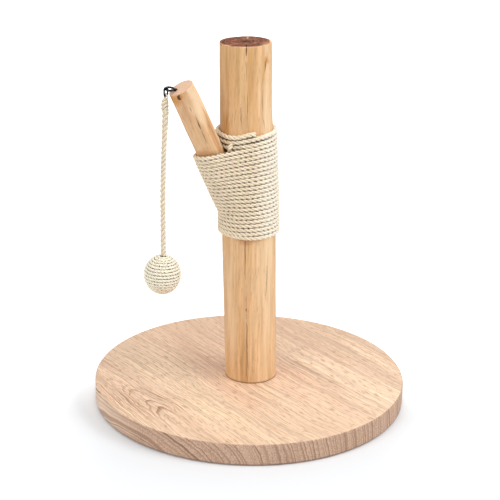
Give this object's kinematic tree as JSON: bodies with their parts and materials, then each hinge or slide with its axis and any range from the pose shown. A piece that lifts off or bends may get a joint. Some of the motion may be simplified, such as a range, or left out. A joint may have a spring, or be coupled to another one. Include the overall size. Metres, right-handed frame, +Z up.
{
  "type": "cat scratching post",
  "caption": "Cat scratching post: upright log on a round board, a branch lashed on with sisal rope, and a rope-wound ball hanging from the branch's cut end.",
  "frame": {"origin": "centre of the round board on the plane of the floor pads' undersides", "axes": "+Z up the post, -Y towards the viewer of the picture, -X the side that the branch leans to"},
  "size_m": [0.35, 0.35, 0.409],
  "materials": {
    "board_wood": "sanded pale oak board with straight open grain, clear matt finish, browner end grain on the rim",
    "log_wood": "peeled and sanded yellow-tan log with long vertical streaks, small knots and fine cracks, satin",
    "branch_wood": "peeled branch, warm tan with darker fibres, a dark knot and a trace of bark, satin",
    "core_wood": "plain turned wood, hidden",
    "sisal_rope": "pale cream three-strand twisted sisal, slightly hairy, matt",
    "sisal_cord": "thinner cream sisal cord, matt",
    "black_steel": "black polished steel wire",
    "zinc_steel": "bright zinc-plated steel",
    "pad_felt": "thin brown pressed felt"
  },
  "bodies": {
    "stand": {"base_board": "board_wood", "floor_pad_1": "pad_felt", "floor_pad_2": "pad_felt", "floor_pad_3": "pad_felt", "floor_pad_4": "pad_felt", "coach_screw_washer": "zinc_steel", "coach_screw": "zinc_steel", "foot_screw_1": "zinc_steel", "foot_screw_2": "zinc_steel", "post_log": "log_wood", "branch": "branch_wood", "branch_screw_1": "zinc_steel", "branch_screw_2": "zinc_steel", "post_lashing": "sisal_rope", "screw_eye": "black_steel"},
    "link": {"hanging_link": "black_steel"},
    "toy": {"rope_eye": "sisal_rope", "rope_binding": "sisal_rope", "hanging_rope": "sisal_rope", "rope_knot": "sisal_rope", "ball_core": "core_wood", "ball_cord": "sisal_cord"}
  },
  "joints": [
    {"name": "link_swing", "type": "hinge", "parent": "stand", "child": "link", "pos_m": [-0.09201, -0.04678, 0.3674], "axis": [0.5937, -0.8047, 0], "range_deg": [-45, 4]},
    {"name": "toy_swing", "type": "hinge", "parent": "link", "child": "toy", "pos_m": [-0.09201, -0.04678, 0.3606], "axis": [0.8047, 0.5937, 0], "range_deg": [-40, 40]}
  ]
}
